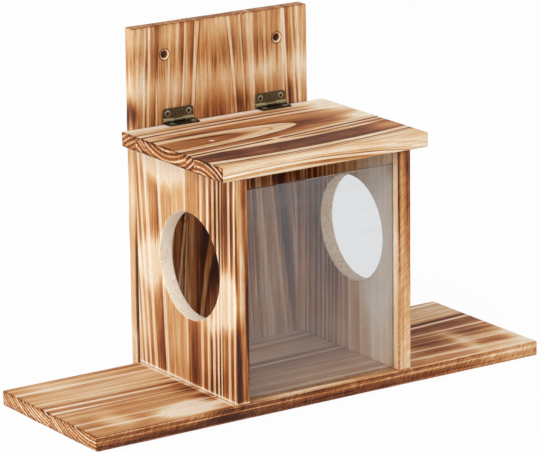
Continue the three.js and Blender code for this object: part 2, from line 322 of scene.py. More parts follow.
def flameReach(add, wood, place, noises, swings, along):
    # how far the torch went: its slow passes, and marks where the flame lingered or passed by, each
    # an eased ellipsoid whose rim is feathered along the fibres
    feathered = place
    for swing, reach in zip(swings, woodFinish["feather"]):
        push = add("VectorMath SCALE", {0: tuple(reach * isGrain for isGrain in along), "Scale": swing})
        feathered = add("VectorMath ADD", (feathered, push))
    scorch = add("MapRange", {"Value": noises["patch"], "From": noiseSpan, "To": wood["scorch"]})
    grain = axisNumber[wood["grain"]]
    for centre, reach, weight, *tilt in wood["patches"]:
        start = feathered if reach[grain] > woodFinish["shortMark"] else place
        local = add("Mapping", {"Vector": start, "Location": centre, "Scale": reach,
                                "Rotation": (0, math.radians(sum(tilt)), 0)}, vector_type="TEXTURE")
        near = add("TexGradient", {"Vector": local}, out="Fac", gradient_type="SPHERICAL")
        eased = add("MapRange", {"Value": near, "To Max": weight}, interpolation_type="SMOOTHSTEP")
        scorch = add("Math ADD", (scorch, eased))
    return add("Clamp", {"Value": scorch, "Min": wood["least"], "Max": woodFinish["mostScorch"]})


def sawScratches(add, wood, place, burn):
    # slanting scratches of a saw, where the board lies below a level on one axis: noise drawn out
    # along the scratches by counting slowly along them and fast across them
    for saw in wood.get("saws", ()):
        lanes = [add("VectorMath DOT_PRODUCT", (place, saw[way]), out="Value") for way in ("across", "along")]
        scratch = add("TexNoise", {"Vector": add("CombineXYZ", lanes), "Scale": 1.0,
                                   "Detail": woodFinish["scratchDetail"]}, out="Fac")
        level = add("SeparateXYZ", (place,), out=axisNumber[saw["axis"]])
        onSide = add("Math LESS_THAN", (level, saw["below"]))
        marks = add("Math MULTIPLY", (add("Math SUBTRACT", (scratch, 0.5)), onSide))
        burn = add("Math MULTIPLY_ADD", (marks, saw["amount"], burn))
    return burn


def cleanBores(add, wood, place, tone, crumbs, burn):
    # a hole was cut after the torch: its inside gets its own burn, clean cut wood in the entrances and
    # countersinks, and painted shade deep in the back board's narrow bores; the hole's own rings show faintly
    for hole in wood.get("holes", ()):
        fromMiddle = add("VectorMath SUBTRACT", (place, hole["centre"]))
        inPlane = tuple(float(axis != wood["bore"]) for axis in "xyz")
        planar = add("VectorMath MULTIPLY", (fromMiddle, inPlane))
        radius = add("VectorMath LENGTH", (planar,), out="Value")
        fade = [hole["radius"] + reach for reach in woodFinish["rimFade"]]
        rim = add("MapRange", {"Value": radius, "From": fade, "To": (hole["rim"], 0.0)})
        burn = add("Math ADD", (burn, rim))
        for within, low, high, ringShare in hole["inside"]:
            clean = add("Math LESS_THAN", (radius, within))
            cut = add("MapRange", {"Value": crumbs, "From": noiseSpan, "To": (low, high)})
            cut = add("Math MULTIPLY_ADD", (tone, ringShare, cut))
            burn = add("Mix", {0: clean, 2: burn, 3: cut})
    return burn


def scorchedWood(name, wood):
    # Softwood, edge-glued from planed strips, torched and brushed. The soft early wood burns
    # brown, the hard late wood stays as thin pale lines, and patches show where the flame lingered.
    # The tone is a function of the distance from each strip's pith line, so face and end grain agree.
    material, add = newMaterial(name)
    along = tuple(float(axis == wood["grain"]) for axis in "xyz")
    objectPlace = add("TexCoord", out="Object")
    place = add("VectorMath SCALE", {0: objectPlace, "Scale": 1 / mm})
    noises = grainNoises(add, wood, place, along)
    tone, ringDepth = growthRings(add, wood, place, noises, along)
    swings = [add("Math SUBTRACT", (noises[label], 0.5)) for label in ("streak", "fibre")]
    for swing, amount in zip(swings, wood["streaks"]):
        tone = add("Math MULTIPLY_ADD", (swing, amount, tone))

    scorch = flameReach(add, wood, place, noises, swings, along)
    toasting = add("Math MINIMUM", (scorch, 1.0))
    charring = add("Math SUBTRACT", (scorch, toasting))
    body = add("Math MULTIPLY_ADD", (tone, 1 - woodFinish["paleBurn"], woodFinish["paleBurn"]))
    burn = add("Math MULTIPLY", (body, toasting))
    burn = add("Math MULTIPLY_ADD", (charring, woodFinish["charRate"], burn))

    # the arrises catch the flame first
    arris = add("Attribute", attribute_name="arris", out="Fac")
    arrisBurn = add("Math MULTIPLY", (noises["patch"], wood["arris"]))
    burn = add("Math MULTIPLY_ADD", (arris, arrisBurn, burn))

    # End grain shows every year's ring: a repeating tone of the depth from the pith, pale for the
    # late wood, laid half over the face's own rings, rough, and dark where open pores drank the heat.
    ends = add("Attribute", attribute_name="ends", out="Fac")
    season = add("Math FRACT", (add("Math DIVIDE", (ringDepth, wood["year"])),))
    yearTone = add("ValToRGB", {"Fac": season}, stops=yearTones)
    endTone = add("Mix", {0: woodFinish["yearShare"], 2: tone, 3: yearTone})
    number, detail = woodFinish["crumbs"]
    crumbs = add("TexNoise", {"Vector": place, "Scale": number, "Detail": detail}, out="Fac")
    endBurn = add("MapRange", {"Value": crumbs, "From": noiseSpan, "To": wood["ends"]})
    burn = add("Mix", {0: ends, 2: burn, 3: add("Math ADD", (endTone, endBurn))})
    endRim = add("Math MULTIPLY", (add("Math MULTIPLY", (ends, arris)), wood["endRim"]))
    burn = add("Math MULTIPLY_ADD", (endRim, crumbs, burn))

    burn = sawScratches(add, wood, place, burn)
    burn = cleanBores(add, wood, place, tone, crumbs, burn)
    pit = add("MapRange", {"Value": noises["pore"], "From": woodFinish["pores"],
                           "To": (woodFinish["poreBurn"], 0.0)})
    burn = add("Math ADD", (burn, pit), use_clamp=True)

    smoky, toasted = (add("ValToRGB", {"Fac": burn}, stops=tones) for tones in (smokyTones, toastedTones))
    heat = add("MapRange", {"Value": noises["patch"], "From": woodFinish["heatSpan"], "To": wood["toasted"]})
    heat = add("Math MULTIPLY_ADD", (ends, woodFinish["endHeat"], heat), use_clamp=True)
    colour = add("Mix", {0: heat, 6: smoky, 7: toasted}, data_type="RGBA", out=2)
    rough = add("MapRange", {"Value": burn, "To": woodFinish["gloss"]})
    height = add("Math MULTIPLY_ADD", (tone, -woodFinish["lateHeight"], noises["fibre"]))
    normal = add("Bump", {"Height": height, "Strength": woodFinish["reliefStrength"],
                          "Distance": woodFinish["relief"]}, out="Normal")
    shader = add("BsdfPrincipled", {"Base Color": colour, "Roughness": rough, "Normal": normal,
                                    "Specular IOR Level": woodFinish["specular"]})
    add("OutputMaterial", {"Surface": shader})
    return material


# Board meshes

boardForm = {                # mm
    "steps": (0.0, 0.28, 0.6, 1.0, 1.5, 2.3),     # the lattice grows finer towards each edge
    "arrisReach": 0.9, "endReach": 0.25, "tornReach": 1.5,      # how fast these marks fade inwards
    "wear": (17.0, 0.55, 0.9),       # length of the easing's wander, its least share and its range
    "dents": (2.6, 0.5, 0.62),       # size of the dents, depth, and how rare they are
    "pits": (0.9, 0.07),
    "arrisFrom": 0.35,               # dents start where the arris mark passes this
    "step": 1.6,                     # lattice spacing away from the edges
}


def latticeShell(xs, ys, zs):
    # points and outward quads of a closed box whose sides are grids over the given coordinates
    number = np.arange(len(xs) * len(ys) * len(zs)).reshape(len(xs), len(ys), len(zs))
    quads = []
    for axis in range(3):
        for end in (0, -1):
            side = np.take(number, end, axis=axis)
            loop = (side[:-1, :-1], side[1:, :-1], side[1:, 1:], side[:-1, 1:])
            quad = np.stack([part.ravel() for part in loop], 1)
            quads.append(quad[:, ::-1] if (end == 0) != (axis == 1) else quad)
    used, quads = np.unique(np.concatenate(quads), return_inverse=True)
    points = np.stack(np.meshgrid(xs, ys, zs, indexing="ij"), -1).reshape(-1, 3)[used]
    return points, quads.reshape(-1, 4)


def boardPoints(low, high, wood):
    # A planed board with worn arrises. Each point of a lattice shell is drawn to the inner box by
    # the easing radius, which wanders along the arris, and small dents are pressed into the arris,
    # more deeply round the sawn ends by the torn share.
    edge = np.array(boardForm["steps"])
    seed, grain = wood["seed"], axisNumber[wood["grain"]]
    sides = []
    for a, b in zip(low, high):
        inner = np.linspace(a + edge[-1], b - edge[-1], max(2, int(round((b - a) / boardForm["step"]))))
        sides.append(np.concatenate((a + edge[:-1], inner, (b - edge[:-1])[::-1])))
    points, quads = latticeShell(*sides)
    fromSides = np.minimum(points - low, high - points)
    arris = np.exp(-np.sort(fromSides, axis=1)[:, 1] / boardForm["arrisReach"])
    ends = np.exp(-fromSides[:, grain] / boardForm["endReach"])
    length, least, span = boardForm["wear"]
    radius = (wood["ease"] * (least + span * softNoise(points, length, seed)))[:, None]
    core = np.clip(points, low + radius, high - radius)
    outward = points - core
    outward /= np.linalg.norm(outward, axis=1)[:, None]
    size, deep, rare = boardForm["dents"]
    pitSize, pitDeep = boardForm["pits"]
    dent = deep * np.clip(softNoise(points, size, seed + 1) - rare, 0, 1)
    dent = dent + pitDeep * softNoise(points, pitSize, seed + 2)
    dent *= 1 + wood["torn"] * np.exp(-fromSides[:, grain] / boardForm["tornReach"])
    start = boardForm["arrisFrom"]
    points = core + outward * (radius - (dent * np.clip(arris - start, 0, 1) / (1 - start))[:, None])
    return points, quads, {"arris": arris, "ends": ends}


def turned(radii, heights, sides):
    # points and outward faces of a closed shape turned round z, on a grid of profile points and
    # angles: the height at each radius is one value, or one for each angle
    angle = np.linspace(0, 2 * np.pi, sides, endpoint=False)
    radii = np.array(radii, float)[:, None]
    heights = np.broadcast_to(np.reshape(heights, (len(radii), -1)), (len(radii), sides))
    points = np.stack((radii * np.cos(angle), radii * np.sin(angle), heights), -1).reshape(-1, 3)
    ring = np.arange(len(points)).reshape(-1, sides)
    after = np.roll(ring, -1, axis=1)
    quads = np.stack((ring[:-1], ring[1:], after[1:], after[:-1]), -1).reshape(-1, 4).tolist()
    return points, quads + [ring[0].tolist(), ring[-1][::-1].tolist()]


def standing(points, axis, way, centre):
    # a shape's points with its z axis laid along an axis, one way or the other, and moved to the centre
    return np.roll(points * (1, way, way), axis + 1, axis=1) + centre


def turnedCutter(outline, centre, axis, sides, way=1):
    # the outline, as (radius, height) pairs, turned round an axis from the centre
    points, faces = turned(*np.transpose(outline), sides)
    return standing(points, axis, way, centre), faces


def carve(mesh, cutters):
    # cuts the closed shapes, which don't touch each other, out of the mesh
    cutterMesh = bmesh.new()
    for points, faces in cutters:
        made = [cutterMesh.verts.new(p * mm) for p in np.asarray(points)]
        for face in faces:
            cutterMesh.faces.new([made[i] for i in face])
    bmesh.ops.recalc_face_normals(cutterMesh, faces=cutterMesh.faces)
    cutter = bpy.data.objects.new("cutter", bpy.data.meshes.new("cutter"))
    cutterMesh.to_mesh(cutter.data)
    cutterMesh.free()
    board = bpy.data.objects.new("board", mesh)
    for item in (cutter, board):
        bpy.context.scene.collection.objects.link(item)
    cut = board.modifiers.new("cut", "BOOLEAN")
    cut.object, cut.operation, cut.solver = cutter, "DIFFERENCE", "EXACT"
    carved = bpy.data.meshes.new_from_object(board.evaluated_get(bpy.context.evaluated_depsgraph_get()))
    for item in (cutter, board):
        bpy.data.objects.remove(item)
    return carved


screwSizes = {           # mm; the recess has its own span, slot width and depth
    "board": {"head": 3.0, "rim": 0.3, "shank": 1.5, "length": 28.0, "tip": 4.0, "dome": 0.2,
              "span": 3.6, "slot": 0.9, "deep": 1.1},
    "hinge": {"head": 2.2, "rim": 0.15, "shank": 1.0, "length": 8.0, "tip": 2.0, "dome": 0.2,
              "span": 2.4, "slot": 0.7, "deep": 0.7},
}
screws = {               # names, size, axis and which way along it they go in
    group: ([f"{side}_{start}screw_{i}" for side in sides for i in (1, 2)], kind, axis, inward)
    for group, sides, start, kind, axis, inward in (
        ("foot", ("left", "right"), "foot_", "board", 2, 1),
        ("back", ("left", "right", "base"), "back_", "board", 1, -1),
        ("hingeBack", ("left", "right"), "hinge_back_", "hinge", 1, 1),
        ("hingeLid", ("left", "right"), "hinge_lid_", "hinge", 2, -1),
    )
}
screwRoom = {"gap": 0.2, "above": 3.0, "point": 0.05, "sides": 24}      # the hole cut round a screw
wallHole = {"radius": 36.0, "thick": 10.0, "rimEase": 0.7, "arcPoints": 4, "sides": 180, "overrun": 2.0}
entrances = {"left": (-64, -7.5, 91.5), "right": (64, -7.5, 97.0)}      # the middles of the wall holes
groove = {"left": (-62, -58), "right": (58, 62), "y": (-56.8, -54.2), "z": (9.0, 162.0)}
hangingHole = {"bore": 2.5, "sink": 3.5, "depth": 14.0, "overrun": 1.0, "spacing": 89.0, "height": 217.7,
               "face": 56.7, "sides": 48}


def screwSeat(node, kind, axis, inward):
    # the middle of the head's rim plane, from the CAD screw's box
    low, high = nodeBox(node)
    seat = (low + high) / 2
    seat[axis] = (low if inward > 0 else high)[axis] + inward * screwSizes[kind]["dome"]
    return seat


def screwCutter(node, kind, axis, inward):
    # the room round a screw: its own outline grown by the gap, open above the head
    s, gap = screwSizes[kind], screwRoom["gap"]
    outline = ((s["head"] + gap, -screwRoom["above"]), (s["head"] + gap, s["rim"]),
               (s["shank"] + gap, s["rim"] + s["head"] - s["shank"]),
               (s["shank"] + gap, s["length"] - s["tip"]), (screwRoom["point"], s["length"] + gap))
    return turnedCutter(outline, screwSeat(node, kind, axis, inward), axis, screwRoom["sides"], inward)


def roomFor(group, start=""):
    # the rooms for a group's screws, or for those whose names start in a given way
    names, kind, axis, inward = screws[group]
    return [screwCutter(name, kind, axis, inward) for name in names if name.startswith(start)]


def entranceCutter(side):
    # the round entrance: a straight bore that flares by the easing at both faces
    e = wallHole["rimEase"]
    t = wallHole["thick"] / 2
    arc = [(wallHole["radius"] + e * (1 - math.cos(a)), t - e + e * math.sin(a))
           for a in np.linspace(0, math.pi / 2, wallHole["arcPoints"])]
    outline = [(r, -h) for r, h in arc[::-1]] + arc
    beyond = t + wallHole["overrun"]
    outline = [(outline[0][0], -beyond)] + outline + [(outline[-1][0], beyond)]
    return turnedCutter(outline, entrances[side], 0, wallHole["sides"])


def grooveCutter(side):
    # the pane's groove in a wall's inner face: a plain slot, open at the top and the foot
    points, quads = latticeShell(groove[side], groove["y"], groove["z"])
    return points, quads.tolist()


def hangingCutter(side):
    # a bore from the front face of the back board, with a countersink at 45 degrees
    bore, sink, overrun = (hangingHole[k] for k in ("bore", "sink", "overrun"))
    outline = ((sink + overrun, -overrun), (sink, 0.0), (bore, sink - bore), (bore, hangingHole["depth"]))
    centre = (side * hangingHole["spacing"] / 2, hangingHole["face"], hangingHole["height"])
    return turnedCutter(outline, centre, 1, hangingHole["sides"])


def addBoard(name, node, wood, body, cutters):
    # a worn board the size of its CAD node, with its holes and grooves cut out in one go
    points, quads, marks = boardPoints(*nodeBox(node), wood)
    mesh = carve(meshFrom(name, points, quads.tolist(), marks), cutters)
    linkPiece(name, mesh, [scorchedWood(f"scorchedSoftwood{name[0].upper()}{name[1:]}", wood)],
              body, [node])
    print(name, len(mesh.polygons), "faces")


# Each board's wood. Lengths are in mm and on the box's own axes.
# middle, half: where share is 0 along the grain, and how far from there it is 1
# wander: how far the rings stray along x, y and z
# scorch, least: burn on the torch's lightest and heaviest passes, and the least anywhere
# arris, ends, endRim: burn added on the arrises, on end grain and on the arrises of end grain
# year: spacing of the rings on end grain
# streaks: strength of the fibre bundles and of the fibres
# toasted: share of the toasted tones, on the coolest and hottest passes
# ease, torn: how round the arrises are, and how much deeper the dents are at the sawn ends
# strips: each glued strip has its pith line with its lean and bow, its rings as (depth, tone), and
#   before it a seam as (place across, lean, bow)
# patches: (centre, reach, burn added, and for some a tilt in degrees round y)
# holes: bored through, with inside as (within this radius, least and most burn, share of the rings)
lidWood = {
    "grain": "x", "across": "y", "middle": 0.0, "half": 80.0, "seed": 1, "wander": (3.0, 1.7, 0.3),
    "scorch": (0.8, 1.0), "least": 0.09, "arris": 0.1, "ends": (-0.2, 0.24), "endRim": 1.3, "year": 3.4,
    "streaks": (0.8, 0.6), "toasted": (0.3, 0.85), "ease": 0.85, "torn": 1.6,
    "strips": (
        {"pith": (0, -41.3, 125.0), "lean": (0, 3.8, 0), "bow": (0, 5.6, 0), "rings": (
          (34, .3), (36.8, .6), (37.1, .1), (40.1, .65), (40.4, .08), (41.2, .25), (42.6, .6), (43.0, .1),
          (43.4, .5), (44.4, .75), (44.7, .08), (45.1, .2), (45.4, .7), (45.8, .86), (47.1, .9),
          (47.2, .1), (48.3, .04), (48.5, .15), (48.62, .9), (49.02, .88), (49.2, .25), (49.55, .15),
          (49.8, .42), (50.3, .45), (50.6, .12), (52.0, .15), (53.0, .4), (54.0, .15), (56.0, .35),
          (58.0, .1))},
        {"seam": (-25.3, 5.5, -2.5), "pith": (0, 11.4, 212.0), "lean": (0, 8.5, 0), "bow": (0, 1.5, 0),
         "rings": (
          (45.0, .5), (49.6, .62), (50.0, .08), (51.3, .1), (51.55, .5), (51.9, .9), (53.1, .88),
          (53.35, .14), (54.9, .1), (55.15, .6), (57.0, .7), (57.6, .15), (58.4, .15), (58.8, .7), (61, .6))},
        {"seam": (-17.3, 9.5, 2.5), "pith": (0, 4.4, 215.8), "lean": (0, 5.6, 3.57), "bow": (0, 1.2, 1.74),
         "rings": (
          (42.5, .6), (43.0, .68), (43.4, .56), (43.9, .86), (44.2, .45), (44.7, .1), (44.86, .1),
          (44.93, .5), (45.05, .12), (45.98, .06), (46.08, .85), (46.7, .78), (48.0, .62), (49.4, .55),
          (50.2, .4), (51.2, .15), (52.0, .1), (54.0, .5), (58.5, .6))},
        {"seam": (27.2, -1.7, -3.3), "pith": (0, 4.4, 215.8), "lean": (0, 1.8, 0), "bow": (0, -2.4, 0),
         "rings": (
          (50, .7), (51.6, .1), (53.2, .08), (53.5, .88), (54.6, .8), (54.9, .7), (55.2, .1), (57.4, .1),
          (58.4, .7), (60, .75), (60.4, .2))},
        {"seam": (39.3, 0.6, -1.7), "pith": (0, 0, 60.0), "lean": (0, 2.25, 0), "bow": (0, -3.25, 0),
         "rings": (
          (108, .6), (109.4, .7), (109.8, .15), (110.8, .12), (111.2, .7), (113.2, .75), (113.6, .15),
          (114.4, .15), (114.8, .7), (115.6, .52), (115.9, .72), (116.3, .7), (116.5, .3), (117.7, .26),
          (117.95, .74), (118.4, .78), (118.55, .48), (118.7, .66), (119.1, .64), (119.3, .34),
          (119.8, .28), (120.2, .4), (120.6, .38), (120.9, .18), (122.2, .1), (124, .2))},
    ),
    "patches": (
        ((0, 58, 171), (300, 14, 30), -.9), ((-6, 55, 171), (160, 12, 6), -1.6),
        ((84, 46, 171), (66, 22, 30), -.8), ((84, 32, 171), (46, 17, 30), -1.1),
        ((-80, 22, 171), (20, 6, 4), -.6), ((86, 2, 171), (38, 15, 30), -1.3),
        ((84, 18, 171), (40, 12, 30), -.4), ((78, -33, 171), (34, 15, 30), -.5),
        ((-62, -40, 171), (30, 12, 24), .1), ((-80, 10, 171), (26, 4.5, 4), -.5),
        ((-52, 20, 171), (34, 5, 24), .3), ((-34, 8, 171), (22, 3, 24), .3),
        ((24, -25.5, 171), (34, 4.5, 8), .62), ((34, -20, 171), (40, 6, 8), -.2),
        ((8, -38, 171), (46, 16, 24), .16), ((20, 20, 171), (60, 9, 24), -.14),
        ((0, -69, 166), (700, 9, 20), -.66), ((-20, -68, 160), (160, 5, 5), -.35),
        ((20, -67, 165), (70, 5, 7), .3), ((52, -60, 171), (60, 8, 6), -.3),
        ((0, -62.5, 171), (70, 3.6, 5), .32), ((-52, -58, 171), (36, 2.2, 10), .5),
        ((-9.5, -21.5, 171), (6.5, 3.0, 8), -.9), ((-46, -1.5, 171), (5, 4.6, 8), .4),
        ((-46, -1.5, 171), (3, 3.2, 8), -2.0)),
}
backWood = {
    "grain": "z", "across": "x", "middle": 204.0, "half": 33.0, "seed": 2, "wander": (1.5, 0.4, 3.0),
    "scorch": (0.68, 0.95), "least": 0.14, "arris": 0.2, "ends": (-0.1, 0.25), "endRim": 0.5, "year": 2.2,
    "streaks": (0.8, 0.6), "toasted": (0.3, 0.9), "ease": 0.85, "torn": 0.3,
    "strips": (
        {"pith": (-130.0, 62.0, 0), "lean": (1.5, 0, 0), "rings": (
          (60, .2), (62, .35), (64.5, .15), (66, .42), (68.6, .36), (68.9, .1), (70.4, .14), (70.7, .7),
          (71.5, .5), (72.2, .16), (73.5, .14), (74.0, .48), (76.8, .5), (77.6, .72), (78.6, .7), (79, .12))},
        {"seam": (-51.0, 0, 0), "pith": (-130.0, 62.0, 0), "lean": (2.2, 0, 0), "bow": (-0.26, 0, 0),
         "rings": (
          (78.4, .7), (79.6, .78), (80.1, .38), (87.3, .38), (88.0, .18), (89.0, .14), (89.4, .38),
          (92.7, .34), (93.2, .14), (95.0, .16), (95.4, .36), (98.4, .56), (99.4, .78), (99.6, .14),
          (100.7, .12), (100.9, .42), (102.7, .42), (105.4, .52), (107.2, .74), (107.6, .16), (109.3, .12))},
        {"seam": (-20.8, 2.2, -0.26), "pith": (-6.5, 106.7, 0), "lean": (0, 0.85, 0), "bow": (0, -0.03, 0),
         "rings": (
          (33.0, .36), (34.6, .52), (34.9, .12), (35.5, .16), (35.9, .46), (37.2, .6), (37.6, .14),
          (38.2, .48), (39.6, .6), (39.9, .12), (40.6, .16), (41.0, .5), (42.6, .6), (43.0, .14),
          (43.6, .4), (45.2, .62), (46.0, 1.0), (46.3, .34), (46.8, .34), (47.1, 1.0), (48.9, .52),
          (50.0, .42), (50.25, .3), (50.6, .3), (50.8, .4), (51.5, .34), (51.8, .5), (51.9, .74),
          (52.0, .12), (52.5, .16), (52.62, .74), (53.2, .52), (54.2, .42), (54.9, .42), (55.0, .12),
          (55.45, .14), (55.55, .78), (56.0, .56), (57.4, .36), (57.6, .16), (58.5, .14), (58.8, .34),
          (60.6, .38), (60.8, .14), (61.4, .18), (61.8, .38), (66.3, .38), (66.6, .78), (67.4, .7),
          (68, .3))},
        {"seam": (24.0, -1.75, 0), "pith": (110.0, 62.0, 0), "lean": (-0.8, 0, 0), "bow": (0.3, 0, 0),
         "rings": (
          (58, .12), (59.0, .14), (59.4, .66), (60.2, .56), (60.6, .12), (62, .2), (64, .42), (66, .46),
          (70, .52), (70.4, .3), (72, .34), (74.2, .5), (74.6, .16), (76.2, .16), (76.6, .5), (79, .48),
          (82, .6), (84, .5), (84.6, .12), (87, .08))},
        {"seam": (50.5, -1.4, 0.25), "pith": (110.0, 62.0, 0), "lean": (-1.6, 0, 0), "bow": (0.25, 0, 0),
         "rings": (
          (40, .35), (43, .15), (45, .35), (47, .3), (47.4, .12), (49.5, .1), (50.2, .58), (51.5, .5),
          (52.0, .14), (53.2, .14), (53.5, .36), (56, .56), (57.0, .7), (58.2, .66), (58.5, .12), (60, .1))},
    ),
    "patches": (
        ((0, 57, 216), (120, 50, 15), .22), ((-2, 57, 236), (17, 50, 14), -.4),
        ((-40, 57, 232), (14, 50, 12), -.2), ((0, 57, 197), (260, 50, 13), -.26),
        ((-66, 57, 197), (16, 50, 17), -.3), ((64, 57, 198), (15, 50, 20), -.45),
        ((-64, 57, 218), (14, 50, 12), .22), ((34, 57, 198), (16, 50, 13), -.25),
        ((-4, 57, 211), (16, 50, 12), .15), ((34, 57, 215), (12, 50, 10), .2),
        ((0, 57, 174), (130, 50, 16), .42), ((54, 57, 180), (10, 50, 14), .3),
        ((15, 57, 178), (9, 50, 13), .3), ((-66, 57, 178), (12, 50, 14), .2),
        ((0, 57, 95), (150, 60, 80), .5), ((36, 57, 78), (8.5, 50, 120), -.5, -4),
        ((49.5, 57, 78), (6.5, 50, 120), .9, -6), ((30.5, 57, 78), (3, 50, 120), -.35, -4),
        ((42, 57, 78), (3.4, 50, 120), -.5, -6), ((58.3, 57, 85), (1.8, 50, 120), -.9),
        # the patch at z 122 is painted shade on the back board where it is seen through the gap above the pane,
        # under the lid
        ((40, 57, 122), (60, 50, 9), .5), ((-69, 57.8, 46), (5, 3.2, 90), 2.2),
        ((-69, 62, 182), (5, 30, 15), .8), ((-69, 62, 84), (6, 30, 84), -.55),
        ((-31, 57, 104), (4.6, 8, 4.6), 1.0), ((-31, 57, 104), (2.8, 8, 2.8), -1.1)),
    # the narrow bores of the hanging holes are painted dark as painted shade down the hole; their countersinks
    # stay clean cut wood
    "bore": "y", "holes": tuple(
        {"centre": (side * hangingHole["spacing"] / 2, 0, hangingHole["height"]), "radius": hangingHole["sink"],
         "rim": 0.3, "inside": ((3.5, 0, 0.22, 0.1), (2.62, 0.5, 0.9, 0.1))} for side in (-1, 1)),
}
leftWood = {
    "grain": "z", "across": "y", "middle": 85.0, "half": 75.0, "seed": 3, "wander": (0.5, 1.2, 3.0),
    "scorch": (0.66, 0.94), "least": 0.16, "arris": -0.5, "ends": (-0.1, 0.3), "endRim": 0.0, "year": 2.4,
    "streaks": (0.8, 0.6), "toasted": (0.6, 1.0), "ease": 0.6, "torn": 0.3,
    "strips": (
        {"pith": (-35.0, 30.0, 0), "lean": (0, -0.8, 0), "rings": (
          (48.5, .56), (52, .5), (56, .56), (58.5, .5), (61.0, .62), (61.3, .1), (63.4, .08), (63.8, .5),
          (65.5, .62), (67.4, .66), (67.8, .12), (70.0, .08), (70.4, .6), (71.5, .8), (72.9, .85),
          (73.4, .12), (75.5, .08), (75.9, .7), (76.8, .88), (77.9, .85), (78.3, .1), (80.0, .08),
          (80.3, .95), (81.2, 1.0), (81.7, .95), (81.95, .12), (82.6, .08), (82.8, .5), (82.95, .1),
          (83.35, .1), (83.6, .9), (84.5, .88), (84.8, .4), (85.2, .5), (87, .72), (89.6, .8), (90.3, .12),
          (92.3, .08), (92.8, .7), (94, .88), (95.2, .82), (96.05, .5), (96.4, .12), (97.4, .1),
          (97.8, .55), (98.6, .65))},
        {"seam": (-4.6, 0.3, 0), "pith": (-50.0, -60.0, 0), "lean": (0, 4.3, 0), "rings": (
          (55, .06), (57.5, .08), (59, .3), (62, .38), (66, .3), (69, .4), (72, .28), (75, .4), (78, .34),
          (82, .42), (85.4, .32), (85.8, .06), (88.9, .05), (89.4, .8), (91.5, .7), (94, .58), (98.6, .56))},
        {"seam": (38.0, 5.2, 0), "pith": (-50.0, -58.0, 0), "lean": (0, 5.6, 0), "rings": (
          (97.6, .56), (98.2, .5), (99.2, .1), (102.2, .06), (102.8, .6), (106.0, .66), (106.6, .1),
          (108.6, .1), (109.2, .6), (111.4, .66), (112.0, .1), (114.5, .06), (115.0, .56), (116.6, .56),
          (117.2, .1), (120, .3))},
    ),
    "patches": (
        ((-69, 24, 157), (26, 39, 25), -1.8), ((-69, 41, 83), (24, 22, 26), -1.35),
        ((-69, 30, 92), (24, 6, 20), -.6), ((-69, -52, 77), (12, 26, 27), -1.6),
        ((-69, -34, 58), (24, 15, 12), -.6), ((-69, 11, 50), (24, 17, 24), -.12),
        ((-69, -3.7, 42), (24, 1.3, 46), -.8), ((-69, -46, 128), (10, 24, 36), .5),
        ((-69, -12, 34), (22, 9, 40), .66), ((-69, 10, 52), (22, 15, 16), .12),
        ((-69, 0, 17), (24, 150, 18), .22), ((-69, 29, 24), (24, 8, 28), .35),
        ((-69, 0, 9.6), (30, 300, 3.6), -1.9), ((-64, -63.4, 85), (20, 1.9, 300), .95),
        ((-64, -63.4, 78), (20, 2.4, 26), .4), ((-64, -63.4, 30), (20, 3, 80), .45),
        ((-60, -63.4, 30), (3.6, 2.4, 108), .9), ((-60, -63.4, 138), (3.2, 2.4, 52), -.7),
        ((-69, -63.4, 85), (3, 2, 300), .7), ((-64, -63.4, 104), (2.6, 2, 18), -.5),
        ((-69, 46, 118), (20, 12, 30), -.35), ((-69, 48, 42), (20, 12, 36), -.45)),
    "bore": "x", "holes": ({"centre": entrances["left"], "radius": wallHole["radius"], "rim": 0.0,
                            "inside": ((36.25, -0.14, 0.09, 0.08),)},),
}
rightWood = dict(
    leftWood, seed=4, wander=(0.5, 1.0, 3.0), scorch=(0.6, 0.85), least=0.07, arris=0.3, toasted=(0.4, 0.9),
    strips=(
        {"pith": (35.0, 30.0, 0), "lean": (0, 0.8, 0), "rings": (
          (24, .3), (28, .6), (28.4, .1), (31, .5), (31.4, .1), (34, .6), (34.4, .1), (38, .5), (41, .6),
          (41.5, .1), (48, .5), (52, .6), (52.5, .1), (58, .5), (64, .6), (64.5, .1), (70, .45), (73, .6),
          (73.6, .1), (78, .5), (80, .6), (80.6, .15), (85, .4), (87.5, .35), (92, .25), (95.3, .3),
          (95.6, .3), (95.8, .8), (96.2, .62), (96.8, .5), (97.6, .55), (98.2, .7), (98.6, .8))},
        {"seam": (4.0, 0, 0), "pith": (50.0, -60.0, 0), "lean": (0, -1.2, 0), "bow": (0, 0.4, 0),
         "rings": (
          (62, .5), (66, .6), (66.4, .2), (69, .7), (72, .8), (72.6, .1), (74, .7), (76, .8), (76.4, .2),
          (78, .75), (80, .6), (80.4, .1), (83, .8), (84.5, .7), (84.9, .15), (88, .6), (90, .8),
          (90.4, .1), (93, .7), (96, .8), (96.5, .2), (100, .6), (103, .8), (103.4, .1), (107, .7),
          (107.5, .1), (114, .5), (118, .7))},
    ),
    patches=(
        # painted light and shade on the inner face: the patch at y 42 darkens the back part as a painted shadow
        # of the left wall, the one at y -40 lightens the front part as painted light, and the one under the
        # entrance is a painted shadow
        ((59, 42, 100), (6, 44, 120), .55), ((59, -40, 95), (6, 42, 130), -1.05),
        ((59, 10, 62), (6, 22, 40), .4), ((59, -56.5, 85), (3, 2, 300), .5),
        ((59.6, -62.8, 85), (1.8, 2, 300), .9), ((66.5, -63.2, 152), (12, 3, 60), .22),
        ((63, -63.2, 100), (3.4, 3, 120), -.08), ((66, -63.2, 30), (14, 3, 80), -.36),
        ((67.6, -63.2, 85), (2.6, 3, 300), -.25), ((69, 20, 12), (6, 100, 34), .4),
        ((69, -40, 60), (6, 25, 30), -.5), ((69, 40, 95), (6, 22, 26), -.6),
        ((69, 10, 150), (6, 40, 18), -.7)),
    holes=({"centre": entrances["right"], "radius": wallHole["radius"], "rim": 0.0,
            "inside": ((36.25, -0.2, 0.3, 0.12),)},),
    saws=({"axis": "y", "below": -61.9, "across": (0.55, 0, -0.5), "along": (0.1, 0, 0.08), "amount": 0.5},),
)
